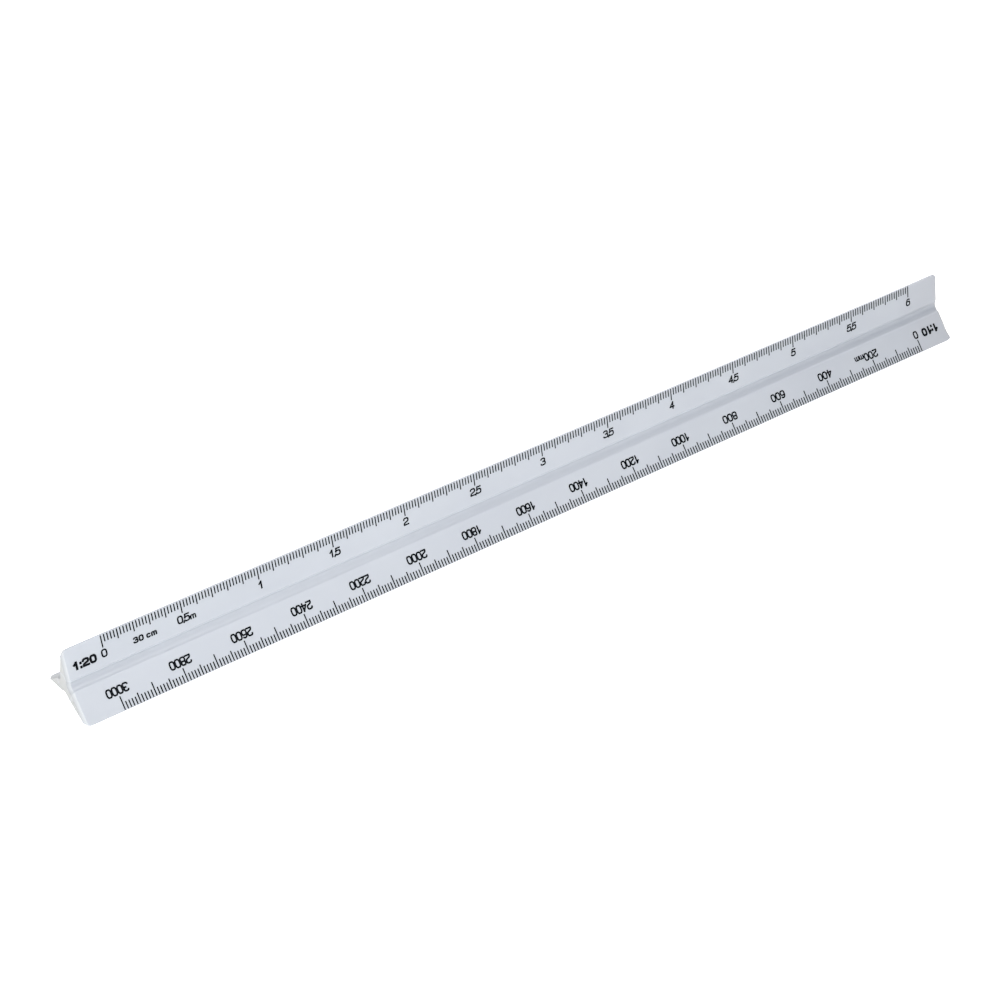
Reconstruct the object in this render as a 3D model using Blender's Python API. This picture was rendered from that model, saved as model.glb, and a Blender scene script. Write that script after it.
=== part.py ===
"""Triangular scale ruler: one moulded body with three arms, and the six scales printed on its flanks.

Frame: metres, +Z up. X runs along the ruler, -Y is its front and the top arm points up. The origin
lies under the middle of the ruler, at the height of the two edges that it rests on.
A cross-section lies in the YZ plane. Each arm is a wedge that thins towards its graduated edge, and
each face between two arms is two flat flanks with a round groove between them.
"""

import math

import bmesh
import bpy
from mathutils import Matrix, Vector

# Driving dimensions of the body, in metres and radians
LENGTH = 0.3256
FACE_WIDTH = 0.0234             # between the middles of two neighbouring edges
EDGE_THICKNESS = 0.0005         # of an arm at its graduated edge
EDGE_ROUND = 0.00015            # radius of the two corners of a graduated edge
ARM_TAPER = math.radians(14)    # between an arm's middle plane and its flank
GROOVE_HALF_WIDTH = 0.0017
GROOVE_WALL = math.radians(57)  # between the face and the groove's wall, where the groove starts
RIM_LENGTH = 0.0010             # of the chamfer around an end face, along the ruler
RIM_INSET = 0.00085             # of that chamfer, from a flank to the edge of the end face
TIP_LENGTH = 0.0020             # of the round corner at an arm's end, along the ruler
TIP_CUT = 0.0017                # taken off an arm's tip by that corner
THINNEST_TIP = 0.00008          # half thickness that an arm keeps where the chamfer thins it

# Driving dimensions of the printed scales
SCALE_LENGTH = 0.300            # from the first mark to the last one
SCALE_SHIFT = -0.0004           # of the middle of every scale along the ruler
LABEL_OVERHANG = 0.0096         # of the ratio before the first mark
FIGURE_OVERHANG = 0.0040        # of the last figure beyond the last mark
PRINT_START = 0.0006            # from the graduated edge to the print, along the flank
PRINT_END = 0.0074              # from the graduated edge to the foot of the figures
INK_THICKNESS = 0.00005
INK_CLEARANCE = 0.00005

# Derived dimensions
CIRCUMRADIUS = FACE_WIDTH / math.sqrt(3)
HALF_FACE_ANGLE = math.radians(60)
FLANK_SLOPE = math.radians(30) - ARM_TAPER

# Directions of the arms in the YZ plane, counter-clockwise as seen from +X
ARM_ANGLES = {
    "top": math.radians(90),
    "front": math.radians(210),
    "back": math.radians(330),
}
# Each scale's node, the arm it is printed on, and the arm that its flank faces towards
SCALES = {
    "print_1_20": ("top", "front"),
    "print_1_10": ("front", "top"),
    "print_1_50": ("back", "top"),
    "print_1_100": ("top", "back"),
    "print_1_5": ("front", "back"),
    "print_1_2_5": ("back", "front"),
}

TIP_POWER = 1.7                 # how the tip cut grows along the corner: 1 would be a flat cut
# Share of the tip cut at a corner that is rounded less than the others, by arm and end of the ruler
SHARPER_CORNERS = {("front", 1): 0.25}

EDGE_STEPS = 2
GROOVE_STEPS = 14
TIP_STEPS = 6

PLASTIC_COLOUR = (0.72, 0.75, 0.80, 1.0)
PLASTIC_ROUGHNESS = 0.38
INK_COLOUR = (0.012, 0.013, 0.016, 1.0)
INK_ROUGHNESS = 0.55


def clear_scene():
    for old in list(bpy.data.objects):
        bpy.data.objects.remove(old, do_unlink=True)


def make_collection(name):
    collection = bpy.data.collections.new(name)
    bpy.context.scene.collection.children.link(collection)
    return collection


def make_material(name, colour, roughness):
    material = bpy.data.materials.new(name)
    material.use_nodes = True
    shader = material.node_tree.nodes["Principled BSDF"]
    shader.inputs["Base Color"].default_value = colour
    shader.inputs["Roughness"].default_value = roughness
    shader.inputs["Metallic"].default_value = 0.0
    material.diffuse_color = colour
    return material


def add_object(name, mesh, material, collection):
    mesh.materials.append(material)
    piece = bpy.data.objects.new(name, mesh)
    collection.objects.link(piece)
    return piece


def directions(angle):
    """Unit vectors along an arm and across it, counter-clockwise as seen from +X."""
    outward = Vector((0, math.cos(angle), math.sin(angle)))
    sideways = Vector((0, -math.sin(angle), math.cos(angle)))
    return outward, sideways


def half_thickness(radius, inset):
    """Half the thickness of an arm at a distance from the ruler's axis, with its flanks moved in."""
    thickening = (CIRCUMRADIUS - radius) * math.tan(ARM_TAPER)
    return EDGE_THICKNESS / 2 + thickening - inset / math.cos(ARM_TAPER)


def thin_radius(inset):
    """Distance from the axis to where moved-in flanks leave an arm no thicker than its thin tip."""
    spare = half_thickness(CIRCUMRADIUS, inset) - THINNEST_TIP
    return CIRCUMRADIUS + spare / math.tan(ARM_TAPER)


def edge_points(angle, inset, tip_cut):
    """The graduated edge of one arm: a narrow land between two rounded corners and two flank points.

    Past its thin radius, an arm keeps its thinnest tip's thickness up to the edge.
    """
    outward, sideways = directions(angle)
    corner = max(EDGE_ROUND - inset, EDGE_ROUND / 3)
    centre = CIRCUMRADIUS - tip_cut - corner
    knee = min(thin_radius(inset), centre - EDGE_ROUND)
    offset = max(half_thickness(centre, inset), THINNEST_TIP) - corner / math.cos(ARM_TAPER)
    sweep = math.radians(90) - ARM_TAPER
    turns = [sweep * step / EDGE_STEPS for step in range(EDGE_STEPS + 1)]
    left = [(centre + corner * math.cos(t), offset + corner * math.sin(t)) for t in turns]
    left.append((knee, half_thickness(knee, inset)))
    right = [(radius, -side) for radius, side in reversed(left)]
    return [outward * radius + sideways * side for radius, side in right + left]


def flank_meeting(inset):
    """Distance from the axis to the line where the two flanks of a face would meet."""
    rise = math.sin(HALF_FACE_ANGLE) + math.cos(HALF_FACE_ANGLE) * math.tan(ARM_TAPER)
    return half_thickness(0, inset) / rise


def groove_points(angle, inset):
    """The round groove in the middle of one face, from flank to flank."""
    outward, sideways = directions(angle)
    slope = math.tan(FLANK_SLOPE)
    radius = GROOVE_HALF_WIDTH / math.sin(GROOVE_WALL)
    centre = flank_meeting(0) + GROOVE_HALF_WIDTH * slope + radius * math.cos(GROOVE_WALL)
    radius += inset
    # The circle meets the flank's line, drop + slope * x, where a*x*x + b*x + c = 0
    drop = flank_meeting(inset) - centre
    a = 1 + slope ** 2
    b = 2 * slope * drop
    c = drop ** 2 - radius ** 2
    half_width = (math.sqrt(b ** 2 - 4 * a * c) - b) / (2 * a)
    reach = math.asin(half_width / radius)
    turns = [reach * (2 * step / GROOVE_STEPS - 1) for step in range(GROOVE_STEPS + 1)]
    return [outward * (centre - radius * math.cos(t)) + sideways * radius * math.sin(t)
            for t in turns]


def section(inset, tip_cut, end):
    """The outline of a cross-section, counter-clockwise as seen from +X, at the end -1 or 1."""
    outline = []
    for arm, angle in ARM_ANGLES.items():
        share = SHARPER_CORNERS.get((arm, end), 1)
        outline += edge_points(angle, inset, tip_cut * share)
        outline += groove_points(angle + HALF_FACE_ANGLE, inset)
    return outline


def resting_height():
    """Height of the ruler's axis above the lowest points of its cross-section."""
    return -min(point.z for point in section(0, 0, 1))


def stations():
    """(x, inset, tip cut, end) of each cross-section, from the left end face to the right one."""
    half = []
    for step in range(TIP_STEPS + 1):
        share = step / TIP_STEPS
        to_end = TIP_LENGTH * (1 - share)
        inset = RIM_INSET * max(0, 1 - to_end / RIM_LENGTH)
        half.append((LENGTH / 2 - to_end, inset, TIP_CUT * share ** TIP_POWER, 1))
    mirrored = [(-x, inset, tip_cut, -1) for x, inset, tip_cut, _ in reversed(half)]
    return mirrored + half


def make_body(collection):
    """The moulding: a loft along X, whose sections shrink towards each end face."""
    shape = bmesh.new()
    lift = Vector((0, 0, resting_height()))
    rings = []
    for x, inset, tip_cut, end in stations():
        offset = lift + Vector((x, 0, 0))
        rings.append([shape.verts.new(point + offset) for point in section(inset, tip_cut, end)])
    for ring, following in zip(rings, rings[1:]):
        for i in range(len(ring)):
            j = (i + 1) % len(ring)
            shape.faces.new((ring[i], ring[j], following[j], following[i]))
    shape.faces.new(rings[0])
    shape.faces.new(rings[-1])
    bmesh.ops.recalc_face_normals(shape, faces=shape.faces)
    mesh = bpy.data.meshes.new("ruler_body")
    shape.to_mesh(mesh)
    shape.free()
    mesh.shade_smooth()
    mesh.set_sharp_from_angle(angle=math.radians(25))
    plastic = make_material("ruler_plastic", PLASTIC_COLOUR, PLASTIC_ROUGHNESS)
    return add_object("ruler_body", mesh, plastic, collection)


def print_placement(arm, facing):
    """Where a scale is printed: its zero mark on the graduated edge, its y towards that edge.

    Its z is the flank's outward normal, so its x, the way its figures read, runs along the ruler.
    """
    outward, sideways = directions(ARM_ANGLES[arm])
    side = 1 if sideways.dot(directions(ARM_ANGLES[facing])[0]) > 0 else -1
    toward_edge = outward * math.cos(ARM_TAPER) - sideways * side * math.sin(ARM_TAPER)
    normal = outward * math.sin(ARM_TAPER) + sideways * side * math.cos(ARM_TAPER)
    reading = toward_edge.cross(normal)
    corner = outward * CIRCUMRADIUS + sideways * side * EDGE_THICKNESS / 2
    zero = corner + Vector((SCALE_SHIFT, 0, resting_height())) - reading * SCALE_LENGTH / 2
    rotation = Matrix((reading, toward_edge, normal)).transposed().to_4x4()
    return Matrix.Translation(zero) @ rotation


def make_print(name, arm, facing, collection):
    """The thin layer that a scale's marks, figures and ratio share, just clear of its flank."""
    low = Vector((-LABEL_OVERHANG, -PRINT_END, INK_CLEARANCE))
    high = Vector((SCALE_LENGTH + FIGURE_OVERHANG, -PRINT_START, INK_CLEARANCE + INK_THICKNESS))
    placement = Matrix.Translation((low + high) / 2) @ Matrix.Diagonal((*(high - low), 1))
    layer = bmesh.new()
    bmesh.ops.create_cube(layer, size=1, matrix=placement)
    mesh = bpy.data.meshes.new(name)
    layer.to_mesh(mesh)
    layer.free()
    ink = make_material(name + "_ink", INK_COLOUR, INK_ROUGHNESS)
    piece = add_object(name, mesh, ink, collection)
    piece.matrix_world = print_placement(arm, facing)
    return piece


def main():
    clear_scene()
    collection = make_collection("triangular_scale_ruler")
    body = make_body(collection)
    for name, (arm, facing) in SCALES.items():
        piece = make_print(name, arm, facing, collection)
        piece.parent = body


main()
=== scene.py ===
"""Looks of the triangular scale ruler: moulded white plastic with six printed scales."""

import math

import bmesh
import bpy
import numpy as np
from mathutils import Matrix, Vector, geometry


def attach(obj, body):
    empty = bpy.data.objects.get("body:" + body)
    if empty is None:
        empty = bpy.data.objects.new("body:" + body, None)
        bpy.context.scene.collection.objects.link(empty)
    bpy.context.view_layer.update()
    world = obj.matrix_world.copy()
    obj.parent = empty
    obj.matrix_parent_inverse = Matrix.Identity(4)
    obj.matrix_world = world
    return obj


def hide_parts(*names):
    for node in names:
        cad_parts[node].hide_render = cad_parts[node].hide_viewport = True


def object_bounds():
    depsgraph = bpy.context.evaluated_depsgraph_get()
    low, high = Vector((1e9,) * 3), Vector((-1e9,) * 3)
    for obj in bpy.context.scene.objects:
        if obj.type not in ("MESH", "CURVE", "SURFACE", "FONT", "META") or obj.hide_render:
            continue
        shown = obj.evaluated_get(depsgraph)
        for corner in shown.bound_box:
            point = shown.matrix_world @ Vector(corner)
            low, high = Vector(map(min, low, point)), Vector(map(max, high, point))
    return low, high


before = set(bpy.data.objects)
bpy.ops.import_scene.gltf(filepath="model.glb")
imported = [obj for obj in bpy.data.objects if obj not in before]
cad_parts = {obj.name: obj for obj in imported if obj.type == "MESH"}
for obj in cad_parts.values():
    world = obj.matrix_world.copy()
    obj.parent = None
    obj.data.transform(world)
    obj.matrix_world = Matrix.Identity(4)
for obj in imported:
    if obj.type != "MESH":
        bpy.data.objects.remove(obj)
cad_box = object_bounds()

MM = 0.001
BODY = "root"

# How the printed layer of each scale sits on its flank in the frame, in millimetres
LABEL_OVERHANG = 9.6           # of the layer before the first mark
PRINT_START = 0.6              # from the graduated edge to the layer
INK_CLEARANCE = 0.05           # from the flank to the layer
SCALE_LENGTH = 300

# The body's section, in millimetres
GROOVE_FLOOR_RADIUS = 3.217    # from the axis to the middle of a groove
GROOVE_EDGE_RADIUS = 4.475     # from the axis to the line where a flank turns into a groove
RIM_LENGTH = 1.0               # of the chamfer around an end face
GROOVE_ROUNDING = 0.4          # of that line
EDGE_ROUNDING = 0.12           # of the other edges
GROOVE_SEGMENTS = 6
EDGE_SEGMENTS = 3
SHARP_EDGE = math.radians(28)  # the least angle of an edge that is rounded
WELD_DISTANCE = 0.001
TOLERANCE = 0.02               # in finding vertices by their place

# Ink, in millimetres
INK_TOP = 0.018                # above the flank
INK_ROOT = -0.010              # below it, so that the ink sits in the plastic
MARK_WIDTH = 0.38
MARK_START = 0.12              # from the graduated edge to a mark's end
LEADING_ONE_SHIFT = 0.3        # of a number that starts with the narrow 1
FIGURE_TOP = 4.65              # from the graduated edge to the top of the figures
FIGURES = {"height": 2.70, "width": 1.92, "stroke": 0.50, "gap": 0.01}
LONG_FIGURES = {"height": 2.76, "width": 1.86, "stroke": 0.51, "gap": -0.15}
LONG_TEXT = 4                  # characters in a figure that is set closer
UNITS = {"height": 2.16, "width": 1.61, "stroke": 0.43, "gap": -0.01}
RATIOS = {"height": 2.84, "width": 2.24, "stroke": 0.73, "gap": 0.01}
LENGTH_MARK = {"height": 2.06, "width": 1.61, "stroke": 0.50, "gap": 0.07}
LENGTH_MARK_START = 9.0        # from the zero mark
LENGTH_MARK_TOP = 5.2          # from the graduated edge
RATIO_TOP = 4.62               # from the graduated edge
RATIO_GAP = 2.4                # from the end of the ratio to the zero mark
# How far some ratios stand from that place: along the scale, and up
RATIO_SHIFTS = {"1:20": (0.0, -0.19), "1:10": (-0.35, 0.35)}

# Each scale: the ratio, the mark pitches with their lengths in millimetres from fine to coarse, the
# pitch of the figures in millimetres, the value of one figure step, and the unit of the first one
SCALES = {
    "print_1_20": ("1:20", ((1, 2.55), (5, 3.40), (25, 4.15)), 25, 0.5, "m"),
    "print_1_10": ("1:10", ((1, 2.40), (5, 3.20), (10, 4.25)), 20, 200, "mm"),
    "print_1_50": ("1:50", ((1, 2.40), (5, 3.20), (10, 4.25)), 20, 1, "m"),
    "print_1_100": ("1:100", ((1, 2.40), (5, 3.20), (10, 4.25)), 10, 1, "m"),
    "print_1_5": ("1:5", ((1, 2.40), (5, 3.20), (10, 4.25)), 20, 100, "mm"),
    "print_1_2_5": ("1:2,5", ((2, 2.40), (4, 3.20), (20, 4.25)), 20, 50, "mm"),
}


# ---------------------------------------------------------------------------- lettering

ARC_STEP = math.radians(15)
MITRE_LIMIT = 0.5              # least cosine of half the turn at a corner with a full mitre
MERGE_DISTANCE = 1e-4          # in millimetres, between points of outlines that are united
INSIDE_ONLY = 1                # the triangulation keeps what lies inside an outline


def arc(cx, cy, rx, ry, start, end, power=3.0):
    """Points along a superellipse between two angles in degrees."""
    start, end = math.radians(start), math.radians(end)
    steps = max(2, round(abs(end - start) / ARC_STEP))
    points = []
    for i in range(steps + 1):
        angle = start + (end - start) * i / steps
        c, s = math.cos(angle), math.sin(angle)
        x = cx + rx * math.copysign(abs(c) ** (2 / power), c)
        y = cy + ry * math.copysign(abs(s) ** (2 / power), s)
        points.append((x, y))
    return points


def ring(cx, cy, rx, ry):
    """A closed bowl, as two halves whose ends overlap a little."""
    return [arc(cx, cy, rx, ry, 80, 280), arc(cx, cy, rx, ry, 260, 460)]


def half_turned(strokes):
    return [[(1 - x, 1 - y) for x, y in stroke] for stroke in strokes]


def glyphs():
    """Strokes of each character in a unit box, and the box's width as a share of a digit's."""
    six = ring(0.5, 0.31, 0.5, 0.31)
    six.append([(0, 0.31)] + arc(0.56, 0.45, 0.56, 0.55, 180, 58, 2.2))
    arch = [(0, 0), (0, 0.42)] + arc(0.25, 0.46, 0.25, 0.20, 180, 0, 2.2) + [(0.5, 0)]
    return {
        "0": (ring(0.5, 0.5, 0.5, 0.5), 1),
        "1": ([[(0.58, 0), (0.58, 1)], [(0, 0.68), (0.54, 0.97)]], 0.75),
        "2": ([arc(0.5, 0.73, 0.5, 0.27, 172, -55) + [(0.14, 0.30), (0, 0.15), (0, 0), (1, 0)]], 1),
        "3": ([arc(0.46, 0.76, 0.46, 0.24, 160, -90), arc(0.46, 0.26, 0.54, 0.26, 90, -162)], 1),
        "4": ([[(0.74, 0), (0.74, 1)], [(0.74, 1), (0, 0.28)], [(0, 0.28), (1, 0.28)]], 1.02),
        "5": ([[(0.94, 1), (0.14, 1), (0.07, 0.50)], arc(0.46, 0.32, 0.54, 0.32, 142, -160)], 1),
        "6": (six, 1),
        "7": ([[(0, 1), (1, 1), (0.36, 0)]], 0.95),
        "8": (ring(0.5, 0.76, 0.44, 0.24) + ring(0.5, 0.27, 0.5, 0.27), 1),
        "9": (half_turned(six), 1),
        "m": ([arch, [(x + 0.5, y) for x, y in arch]], 1.25),
        ",": ([[(0.4, 0.01), (0.7, -0.10)]], -0.20),
        ":": ([[(0.5, -0.01), (0.5, 0.05)], [(0.5, 0.63), (0.5, 0.69)]], 0.10),
        "c": ([arc(0.5, 0.33, 0.5, 0.33, 48, 312)], 0.85),
        " ": ([], 0.1),
    }


GLYPHS = glyphs()


def ribbon(points, width):
    """The outline of a stroke with square ends and mitred corners."""
    path = [Vector(p) for p in points]
    half = width / 2
    path[0] = path[0] - (path[1] - path[0]).normalized() * half
    path[-1] = path[-1] + (path[-1] - path[-2]).normalized() * half
    left, right = [], []
    for i, point in enumerate(path):
        before = (point - path[i - 1]).normalized() if i else None
        after = (path[i + 1] - point).normalized() if i + 1 < len(path) else None
        before = before or after
        after = after or before
        along = (before + after).normalized()
        across = Vector((-along.y, along.x))
        reach = half / max(along.dot(before), MITRE_LIMIT)
        left.append(point + across * reach)
        right.append(point - across * reach)
    return right + left[::-1]


def text_width(text, style):
    widths = [style["stroke"] + (style["width"] - style["stroke"]) * GLYPHS[c][1] for c in text]
    return sum(widths) + style["gap"] * (len(text) - 1)


def text_outlines(text, style, left, top):
    """Stroke outlines of a text whose box starts at left, in the scale's millimetres."""
    stroke = style["stroke"]
    tall = style["height"] - stroke
    base = top - style["height"] + stroke / 2
    x = left + stroke / 2
    outlines = []
    for character in text:
        strokes, share = GLYPHS[character]
        wide = (style["width"] - stroke) * share
        for points in strokes:
            placed = [(x + px * wide, base + py * tall) for px, py in points]
            outlines.append(ribbon(placed, stroke))
        x += wide + stroke + style["gap"]
    return outlines


def union(outlines):
    """One flat sheet of triangles that covers all the outlines of a text."""
    points, faces = [], []
    for outline in outlines:
        start = len(points)
        points += outline
        faces.append(list(range(start, len(points))))
    verts, _, triangles, _, _, sources = geometry.delaunay_2d_cdt(
        points, [], faces, INSIDE_ONLY, MERGE_DISTANCE)
    covered = [tuple(t) for t, source in zip(triangles, sources) if source]
    return [tuple(v) for v in verts], covered


# ---------------------------------------------------------------------------- ink solids


def node_corners(node):
    """Places of a node's vertices, each once."""
    places = np.array([v.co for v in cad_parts[node].data.vertices])
    return np.unique(places.round(7), axis=0)


def axis_height():
    """Height of the axis that the body's three arms share, in metres: its plain section's middle."""
    corners = node_corners("ruler_body")
    off_middle = np.abs(corners[:, 0])
    return corners[off_middle < off_middle.min() + RIM_LENGTH * MM / 10, 2].mean()


AXIS_HEIGHT = axis_height()
HALF_LENGTH = cad_box[1][0] / MM


def print_frame(node):
    """World matrix of a scale, in millimetres: zero mark at the origin, y towards the edge."""
    corners = node_corners(node)
    centre = corners.mean(0)
    axes = np.linalg.svd(corners - centre)[2]
    radial = centre - np.array([centre[0], 0, AXIS_HEIGHT])
    toward_edge = axes[1] * np.sign(axes[1] @ radial)
    normal = axes[2] * np.sign(axes[2] @ radial)
    reading = np.cross(toward_edge, normal)
    local = (corners - centre) @ np.array([reading, toward_edge, normal]).T
    corner = np.array([local[:, 0].min(), local[:, 1].max(), local[:, 2].min()])
    corner += np.array([LABEL_OVERHANG, PRINT_START, -INK_CLEARANCE]) * MM
    origin = centre + corner @ np.array([reading, toward_edge, normal])
    rotation = Matrix([reading, toward_edge, normal]).transposed().to_4x4()
    return Matrix.Translation(Vector(origin)) @ rotation @ Matrix.Scale(MM, 4)


def add_solid(shape, verts, faces):
    """Raises a flat sheet, given by 2D points and faces, into a closed ink solid.

    An edge that only one face runs along is on the sheet's rim, and gets a wall.
    """
    top = [shape.verts.new((x, y, INK_TOP)) for x, y in verts]
    root = [shape.verts.new((x, y, INK_ROOT)) for x, y in verts]
    edges = {}
    for face in faces:
        shape.faces.new([top[i] for i in face])
        shape.faces.new([root[i] for i in reversed(face)])
        edges.update(dict.fromkeys(zip(face, face[1:] + face[:1])))
    for i, j in edges:
        if (j, i) not in edges:
            shape.faces.new((root[i], root[j], top[j], top[i]))


def ink_piece(name, node, shape, material):
    for vert in list(shape.verts):
        if not vert.link_faces:
            shape.verts.remove(vert)
    mesh = bpy.data.meshes.new(name)
    shape.to_mesh(mesh)
    shape.free()
    mesh.transform(print_frame(node))
    mesh.materials.append(material)
    piece = bpy.data.objects.new(name, mesh)
    bpy.context.scene.collection.objects.link(piece)
    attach(piece, BODY)
    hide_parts(node)
    return piece


def make_marks(node, pitches, material):
    shape = bmesh.new()
    for position in range(SCALE_LENGTH + 1):
        lengths = [length for pitch, length in pitches if position % pitch == 0]
        if lengths:
            left, right = position - MARK_WIDTH / 2, position + MARK_WIDTH / 2
            far, near = -lengths[-1], -MARK_START
            add_solid(shape, [(left, far), (right, far), (right, near), (left, near)], [(0, 1, 2, 3)])
    return ink_piece(node.replace("print", "marks"), node, shape, material)


def figure_text(number):
    """A figure as it is printed, with a decimal comma."""
    return f"{number:g}".replace(".", ",")


def make_figures(node, pitch, value, unit, material):
    shape = bmesh.new()
    for step in range(SCALE_LENGTH // pitch + 1):
        text = figure_text(step * value)
        style = LONG_FIGURES if len(text) >= LONG_TEXT else FIGURES
        left = step * pitch - text_width(text, style) / 2
        if text.startswith("1"):
            left += LEADING_ONE_SHIFT
        outlines = text_outlines(text, style, left, -FIGURE_TOP)
        if step == 1:
            left += text_width(text, style) + UNITS["gap"]
            drop = style["height"] - UNITS["height"]
            outlines += text_outlines(unit, UNITS, left, -FIGURE_TOP - drop)
        add_solid(shape, *union(outlines))
    return ink_piece(node.replace("print", "figures"), node, shape, material)


def make_ratio(node, ratio, material):
    shape = bmesh.new()
    along, up = RATIO_SHIFTS.get(ratio, (0, 0))
    left = along - RATIO_GAP - text_width(ratio, RATIOS)
    add_solid(shape, *union(text_outlines(ratio, RATIOS, left, up - RATIO_TOP)))
    return ink_piece(node.replace("print", "ratio"), node, shape, material)


def make_length_mark(node, material):
    """The length of the printed scales, beside the first figure."""
    shape = bmesh.new()
    outlines = text_outlines("30 cm", LENGTH_MARK, LENGTH_MARK_START, -LENGTH_MARK_TOP)
    add_solid(shape, *union(outlines))
    return ink_piece("length_mark", node, shape, material)


# ---------------------------------------------------------------------------- materials


class Nodes:
    """Short names for building a material's node tree."""

    def __init__(self, name):
        self.material = bpy.data.materials.new(name)
        self.material.use_nodes = True
        self.tree = self.material.node_tree
        self.shader = self.tree.nodes["Principled BSDF"]

    def add(self, kind, **settings):
        node = self.tree.nodes.new(kind)
        for key, value in settings.items():
            setattr(node, key, value)
        return node

    def link(self, source, target):
        self.tree.links.new(source, target)

    def coordinates(self, stretch=(1, 1, 1)):
        place = self.add("ShaderNodeMapping")
        place.inputs["Scale"].default_value = stretch
        self.link(self.add("ShaderNodeTexCoord").outputs["Object"], place.inputs["Vector"])
        return place.outputs["Vector"]

    def noise(self, scale, detail=3.0, stretch=(1, 1, 1)):
        texture = self.add("ShaderNodeTexNoise")
        texture.inputs["Scale"].default_value = scale
        texture.inputs["Detail"].default_value = detail
        self.link(self.coordinates(stretch), texture.inputs["Vector"])
        return texture.outputs["Fac"]

    def component(self, kind, axis):
        """One coordinate of a point's place (kind Object) or of its normal (kind Normal)."""
        split = self.add("ShaderNodeSeparateXYZ")
        self.link(self.add("ShaderNodeTexCoord").outputs[kind], split.inputs[0])
        return split.outputs[axis]

    def along(self):
        """Place along the ruler, in millimetres from its middle."""
        return self.math("DIVIDE", self.component("Object", "X"), MM)

    def axis_distance(self):
        """Distance from the ruler's axis, in millimetres."""
        shift = self.add("ShaderNodeVectorMath", operation="SUBTRACT")
        shift.inputs[1].default_value = (0, 0, AXIS_HEIGHT)
        self.link(self.coordinates((0, 1, 1)), shift.inputs[0])
        length = self.add("ShaderNodeVectorMath", operation="LENGTH")
        self.link(shift.outputs["Vector"], length.inputs[0])
        return self.math("DIVIDE", length.outputs["Value"], MM)

    def remap(self, value, low, high, to_low, to_high):
        ranged = self.add("ShaderNodeMapRange")
        limits = {"From Min": low, "From Max": high, "To Min": to_low, "To Max": to_high}
        for key, number in limits.items():
            ranged.inputs[key].default_value = number
        self.link(value, ranged.inputs["Value"])
        return ranged.outputs["Result"]

    def math(self, operation, a, b=0):
        node = self.add("ShaderNodeMath", operation=operation)
        for socket, value in zip(node.inputs, (a, b)):
            if isinstance(value, (int, float)):
                socket.default_value = value
            else:
                self.link(value, socket)
        return node.outputs[0]

    def band(self, value, start, full, fading, end):
        """A mask that rises from start to full, and falls from fading to end."""
        rise = self.remap(value, start, full, 0, 1)
        return self.math("MULTIPLY", rise, self.remap(value, fading, end, 1, 0))

    def blend(self, share, first, second):
        mix = self.add("ShaderNodeMix", data_type="RGBA")
        self.link(share, mix.inputs[0])
        for socket, value in ((mix.inputs[6], first), (mix.inputs[7], second)):
            if isinstance(value, tuple):
                socket.default_value = (*value, 1)
            else:
                self.link(value, socket)
        return mix.outputs[2]

    def bump(self, height, distance, strength, normal=None):
        node = self.add("ShaderNodeBump")
        node.inputs["Distance"].default_value = distance
        node.inputs["Strength"].default_value = strength
        self.link(height, node.inputs["Height"])
        if normal:
            self.link(normal, node.inputs["Normal"])
        return node.outputs["Normal"]

    def set(self, **values):
        for key, value in values.items():
            socket = self.shader.inputs[key.replace("_", " ")]
            if isinstance(value, (int, float, tuple)):
                socket.default_value = value
            else:
                self.link(value, socket)


# Base colours of the plastic, the ink and the paper, with painted light and shade on the plastic
SKIN_COLOURS = ((0.514, 0.533, 0.582), (0.530, 0.549, 0.596))
# Painted shade: the plastic darker towards the right end, where less light reaches it
RIGHT_END_SHADE_COLOUR = (0.485, 0.490, 0.530)
# Painted light: a warmer, lighter tone on the end faces, as if lit warmly from the left
END_FACE_LIGHT_COLOUR = (0.550, 0.546, 0.543)
# Painted highlight: the chamfers around the end faces made lighter
CHAMFER_HIGHLIGHT_COLOUR = (0.570, 0.578, 0.602)
# Painted shade: a darker band where a chamfer meets its end face
CHAMFER_FOOT_SHADE_COLOUR = (0.452, 0.456, 0.470)
# Painted shade in the grooves' hollows, darker towards the right end
GROOVE_SHADE_COLOUR = (0.40, 0.42, 0.47)
# Painted light: the grooves' rims made lighter where their walls turn away from the light
GROOVE_RIM_LIGHT_COLOUR = (0.68, 0.70, 0.76)
INK_COLOUR = (0.002, 0.003, 0.005)
WORN_INK_COLOUR = (0.10, 0.11, 0.13)
PAPER_COLOURS = ((0.90, 0.90, 0.90), (0.92, 0.92, 0.92))

# Stretches of the ruler over which a mask changes, in millimetres from its middle
RIGHT_END_SHADE = (144, 156)
CHAMFER_FOOT_SHADE = (HALF_LENGTH - 0.8, HALF_LENGTH - 0.1)
SHADE_RISE = (-120, 140)
SHADE_LEFT_END = (-163, -100)
UPPER_RIM_LIGHT_FALL = (100, 155)
LOWER_RIM_LIGHT_RISE = (20, 120)
# The same across it, in millimetres from its axis: start, full, fading, end
GROOVE_RIM = (3.9, 4.3, 4.5, 4.9)
# The same by how far the surface faces an end of the ruler, from 0 to 1
END_FACE_LIGHT = (0.75, 0.95)
CHAMFER = (0.3, 0.5, 0.75, 0.9)
SHADE_ENDWARD = (0.3, 0.8)
# The same by how far it faces up, from -1 to 1
SHADE_UPWARD = (0.2, 0.9)
UPPER_WALL = (-0.2, 0.2)
LOWER_WALL = (0.75, 0.9)

# Noise frequencies, in cycles per metre
CLOUDS = 45
SHADE_MOTTLE = 90
FLOW_LINES = (60, 1400, 1400)
SKIN_GRAIN = 5200
RUBBING = 350
INK_SHEEN = 1500
INK_GRAIN = 4000
PINHOLES = 6000
PAPER_CLOUDS = 30
NOISE_SPREAD = (0.3, 0.7)      # where most values of a noise lie

# Relief and scattering, in millimetres
FLOW_DEPTH = 0.004
GRAIN_DEPTH = 0.003
INK_GRAIN_DEPTH = 0.002
SCATTER_DEPTH = 1.5


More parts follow.
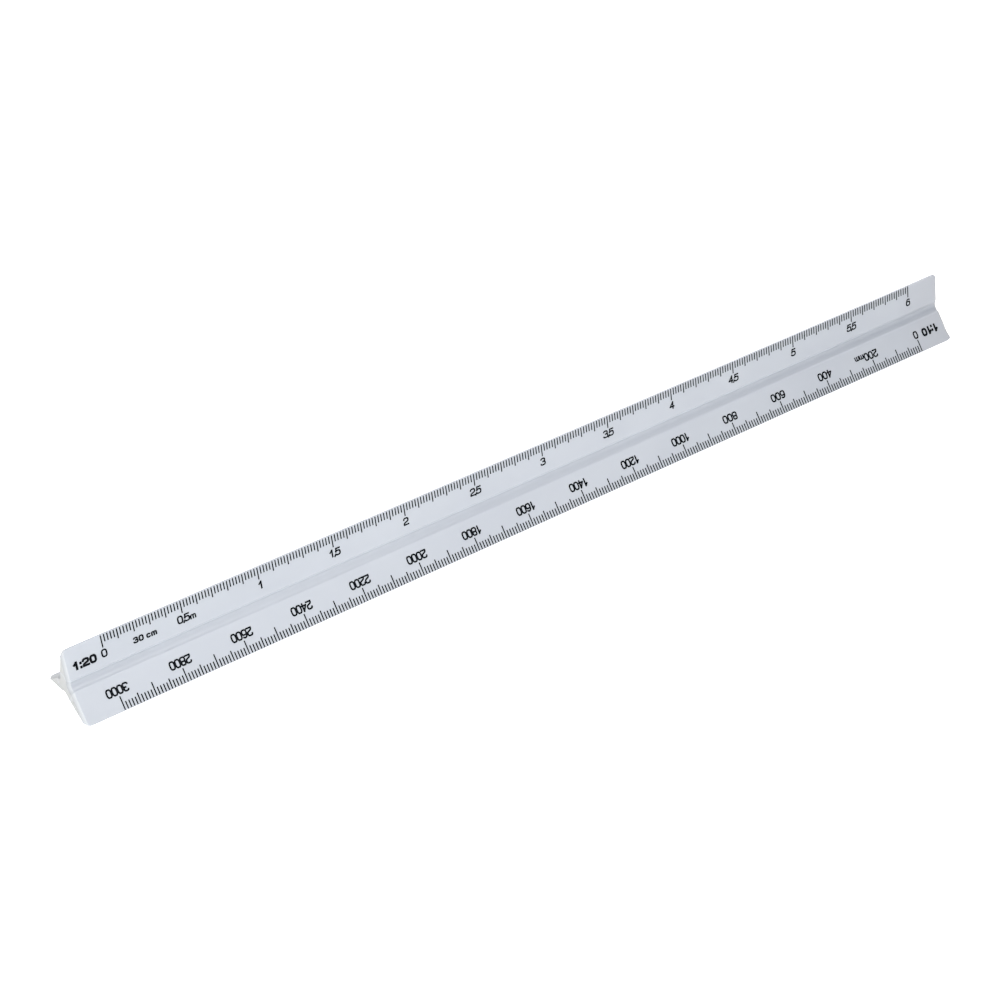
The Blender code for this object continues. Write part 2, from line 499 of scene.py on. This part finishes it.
def paint_end_light_and_shade(n, colour, along, endward):
    """Paints shade at the right end and at the chamfers' feet, warm light on the end faces, and
    highlights on the chamfers around them.
    """
    # Painted shade towards the right end
    colour = n.blend(n.remap(along, *RIGHT_END_SHADE, 0, 0.5), colour, RIGHT_END_SHADE_COLOUR)
    # Painted warm light on the end faces
    colour = n.blend(n.remap(endward, *END_FACE_LIGHT, 0, 1), colour, END_FACE_LIGHT_COLOUR)
    # Painted highlight on the chamfers
    chamfer = n.band(endward, *CHAMFER)
    colour = n.blend(chamfer, colour, CHAMFER_HIGHLIGHT_COLOUR)
    # Painted shade at the foot of each chamfer
    foot_shade = n.remap(n.math("ABSOLUTE", along), *CHAMFER_FOOT_SHADE, 0, 1)
    return n.blend(n.math("MULTIPLY", chamfer, foot_shade), colour, CHAMFER_FOOT_SHADE_COLOUR)


def groove_shade(n, along, upward, endward, axis_distance):
    """A mask of painted shade in the grooves: most at their floor, on what faces up, and at the ends.
    """
    shade_mask = n.remap(axis_distance, GROOVE_FLOOR_RADIUS, GROOVE_EDGE_RADIUS, 1, 0)
    shade_mask = n.math("MULTIPLY", shade_mask, n.remap(n.noise(SHADE_MOTTLE, 3), *NOISE_SPREAD, 0.85, 1))
    shade_mask = n.math("MULTIPLY", shade_mask, n.remap(upward, *SHADE_UPWARD, 0.8, 1.2))
    rightward = n.remap(along, *SHADE_RISE, 0.3, 0.95)
    left_end = n.remap(along, *SHADE_LEFT_END, 0.66, 0.3)
    shade_mask = n.math("MULTIPLY", shade_mask, n.math("MAXIMUM", rightward, left_end))
    return n.math("MULTIPLY", shade_mask, n.remap(endward, *SHADE_ENDWARD, 1, 0))


def groove_rim_light(n, along, upward, axis_distance):
    """A mask of painted light on the grooves' rims, which lightens their walls where shade falls."""
    rim = n.band(axis_distance, *GROOVE_RIM)
    upper_wall = n.remap(upward, *UPPER_WALL, 1, 0)
    lower_wall = n.remap(upward, *LOWER_WALL, 0, 1)
    upper = n.math("MULTIPLY", upper_wall, n.remap(along, *UPPER_RIM_LIGHT_FALL, 1, 0))
    lower = n.math("MULTIPLY", lower_wall, n.remap(along, *LOWER_RIM_LIGHT_RISE, 0, 0.42))
    return n.math("MULTIPLY", rim, n.math("ADD", upper, lower))


def plastic_material():
    """White moulded plastic: a satin skin, faint flow lines, painted shade in the grooves, painted
    light on their rims, and painted light and shade at the ends.
    """
    n = Nodes("ruler_plastic")
    along = n.along()
    axis_distance = n.axis_distance()
    upward = n.component("Normal", "Z")
    endward = n.math("ABSOLUTE", n.component("Normal", "X"))
    colour = n.blend(n.remap(n.noise(CLOUDS, 2), 0.35, 0.65, 0, 1), *SKIN_COLOURS)
    # Painted light and shade at the ends
    colour = paint_end_light_and_shade(n, colour, along, endward)
    # Painted shade in the grooves
    colour = n.blend(groove_shade(n, along, upward, endward, axis_distance), colour, GROOVE_SHADE_COLOUR)
    # Painted light on the grooves' rims
    colour = n.blend(groove_rim_light(n, along, upward, axis_distance), colour, GROOVE_RIM_LIGHT_COLOUR)
    flow = n.noise(1, 4, FLOW_LINES)
    grain = n.noise(SKIN_GRAIN, 2)
    normal = n.bump(flow, FLOW_DEPTH * MM, 0.6)
    normal = n.bump(grain, GRAIN_DEPTH * MM, 0.7, normal)
    flow_roughness = n.remap(flow, *NOISE_SPREAD, 0.30, 0.38)
    roughness = n.math("ADD", flow_roughness, n.remap(grain, *NOISE_SPREAD, 0, 0.05))
    n.set(Base_Color=colour, Roughness=roughness, IOR=1.5, Normal=normal)
    n.set(Subsurface_Weight=0.25, Subsurface_Scale=SCATTER_DEPTH * MM)
    n.set(Subsurface_Radius=(1.0, 1.0, 1.1))
    return n.material


def ink_material():
    """Black printing ink: a thin satin film with tiny lighter pinholes where it is rubbed."""
    n = Nodes("scale_ink")
    pinholes = n.remap(n.noise(PINHOLES, 2), 0.66, 0.74, 0, 0.5)
    rubbed = n.remap(n.noise(RUBBING, 3), 0.35, 0.75, 0, 0.03)
    worn = n.math("ADD", pinholes, rubbed)
    n.set(Base_Color=n.blend(worn, INK_COLOUR, WORN_INK_COLOUR))
    n.set(Roughness=n.remap(n.noise(INK_SHEEN, 2), *NOISE_SPREAD, 0.5, 0.7), Specular_IOR_Level=0.06)
    n.set(Normal=n.bump(n.noise(INK_GRAIN, 3), INK_GRAIN_DEPTH * MM, 0.6))
    return n.material


def floor_material():
    """White paper."""
    n = Nodes("studio_floor")
    paper = n.remap(n.noise(PAPER_CLOUDS, 4), *NOISE_SPREAD, 0, 1)
    n.set(Base_Color=n.blend(paper, *PAPER_COLOURS))
    seen = n.add("ShaderNodeLightPath").outputs["Is Camera Ray"]
    glow = n.math("MULTIPLY", seen, FLOOR_GLOW)
    n.set(Roughness=0.9, Emission_Color=(1, 1, 1, 1), Emission_Strength=glow)
    return n.material


# ---------------------------------------------------------------------------- the object


def groove_edge_vertices(mesh):
    """Vertices along the six lines where a flank turns into a groove, between the chamfers."""
    places = (np.array([v.co for v in mesh.vertices]) - np.array([0, 0, AXIS_HEIGHT])) / MM
    radii = np.hypot(places[:, 1], places[:, 2])
    between = np.abs(places[:, 0]) < HALF_LENGTH - RIM_LENGTH + TOLERANCE
    at_edge = np.abs(radii - GROOVE_EDGE_RADIUS) < TOLERANCE
    return np.flatnonzero(between & at_edge).tolist()


def finish_body(material):
    """Gives the body its material and softens its edges."""
    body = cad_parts["ruler_body"]
    body.data.materials.clear()
    body.data.materials.append(material)
    weld = body.modifiers.new("weld", "WELD")
    weld.merge_threshold = WELD_DISTANCE * MM
    group = body.vertex_groups.new(name="groove_edges")
    group.add(groove_edge_vertices(body.data), 1.0, "REPLACE")
    soften = body.modifiers.new("groove_softening", "BEVEL")
    soften.width = GROOVE_ROUNDING * MM
    soften.segments = GROOVE_SEGMENTS
    soften.use_clamp_overlap = False
    soften.limit_method = "VGROUP"
    soften.vertex_group = group.name
    rounding = body.modifiers.new("rounding", "BEVEL")
    rounding.width = EDGE_ROUNDING * MM
    rounding.segments = EDGE_SEGMENTS
    rounding.limit_method = "ANGLE"
    rounding.angle_limit = SHARP_EDGE


def build_object():
    plastic = plastic_material()
    ink = ink_material()
    finish_body(plastic)
    for node, (ratio, pitches, pitch, value, unit) in SCALES.items():
        make_marks(node, pitches, ink)
        make_figures(node, pitch, value, unit, ink)
        make_ratio(node, ratio, ink)
    make_length_mark("print_1_20", ink)


# ---------------------------------------------------------------------------- the studio

# The camera, in metres; its lens and sensor in millimetres
CAMERA_AZIMUTH = math.radians(-35.629)
CAMERA_ELEVATION = math.radians(41.573)
CAMERA_ROLL = math.radians(1.647)
CAMERA_DISTANCE = 0.71315
CAMERA_TARGET = Vector((-0.01502, 0.0, 0.00466))
CAMERA_LENS = 83.483
CAMERA_SENSOR = 36
CAMERA_NEAREST = 0.01

# Each light above the floor: its place and side in metres, its power in watts, and its colour
LIGHTS = {
    "key": ((-0.06, -0.19, 0.40), 0.20, 0.80, (1.00, 0.98, 0.98)),
    "window": ((-1.12, -1.05, 0.71), 0.45, 16.0, (0.94, 1.00, 1.00)),
    "fill": ((1.00, 1.05, 0.70), 0.45, 11.5, (1.00, 1.00, 1.00)),
}
SKY_HORIZON = 0.40             # brightness at the horizon
SKY_RAMP = (-0.40, 0.0, 0.04)  # added to it along each axis

FLOOR_SIZE = 6                 # in metres
FLOOR_GAP = 0.02               # in millimetres, under the ruler
FLOOR_GLOW = 0.6               # seen by the camera only, so that the paper looks evenly white


def aim(placed, direction, roll=0.0):
    """Turns a camera or light to look along a direction, with its top up."""
    rotation = direction.to_track_quat("-Z", "Y").to_matrix()
    placed.rotation_euler = (rotation @ Matrix.Rotation(roll, 3, "Z")).to_euler()


def make_camera():
    data = bpy.data.cameras.new("camera")
    data.lens = CAMERA_LENS
    data.sensor_width = CAMERA_SENSOR
    data.clip_start = CAMERA_NEAREST
    camera = bpy.data.objects.new("camera", data)
    bpy.context.scene.collection.objects.link(camera)
    level = math.cos(CAMERA_ELEVATION)
    direction = Vector((-math.sin(CAMERA_AZIMUTH) * level, math.cos(CAMERA_AZIMUTH) * level,
                        -math.sin(CAMERA_ELEVATION)))
    camera.location = CAMERA_TARGET - direction * CAMERA_DISTANCE
    aim(camera, direction, CAMERA_ROLL)
    bpy.context.scene.camera = camera


def make_light(name, place, side, power, colour):
    """A square soft light that looks at the middle of the ruler and that the camera doesn't see."""
    data = bpy.data.lights.new(name, "AREA")
    data.size = side
    data.energy = power
    data.color = colour
    light = bpy.data.objects.new(name, data)
    bpy.context.scene.collection.objects.link(light)
    light.location = place
    light.visible_camera = False
    aim(light, -Vector(place))


def make_floor():
    height = cad_box[0][2] - FLOOR_GAP * MM
    bpy.ops.mesh.primitive_plane_add(size=FLOOR_SIZE, location=(0, 0, height))
    floor = bpy.context.active_object
    floor.name = "floor"
    floor.data.materials.append(floor_material())


def make_sky():
    """A soft sky, brighter to the left, that the camera sees as plain white."""
    world = bpy.data.worlds.new("studio")
    bpy.context.scene.world = world
    world.use_nodes = True
    nodes, links = world.node_tree.nodes, world.node_tree.links
    background = nodes["Background"]
    background.inputs["Color"].default_value = (1, 1, 1, 1)
    ramp = nodes.new("ShaderNodeVectorMath")
    ramp.operation = "DOT_PRODUCT"
    ramp.inputs[1].default_value = SKY_RAMP
    links.new(nodes.new("ShaderNodeTexCoord").outputs["Generated"], ramp.inputs[0])
    sky = nodes.new("ShaderNodeMath")
    sky.inputs[1].default_value = SKY_HORIZON
    links.new(ramp.outputs["Value"], sky.inputs[0])
    seen = nodes.new("ShaderNodeMix")
    seen.inputs["B"].default_value = 1.0
    links.new(nodes.new("ShaderNodeLightPath").outputs["Is Camera Ray"], seen.inputs["Factor"])
    links.new(sky.outputs[0], seen.inputs["A"])
    links.new(seen.outputs["Result"], background.inputs["Strength"])


def make_studio():
    make_floor()
    make_sky()
    for name, settings in LIGHTS.items():
        make_light(name, *settings)
    bpy.context.scene.view_settings.view_transform = "Standard"


build_object()
make_studio()
make_camera()
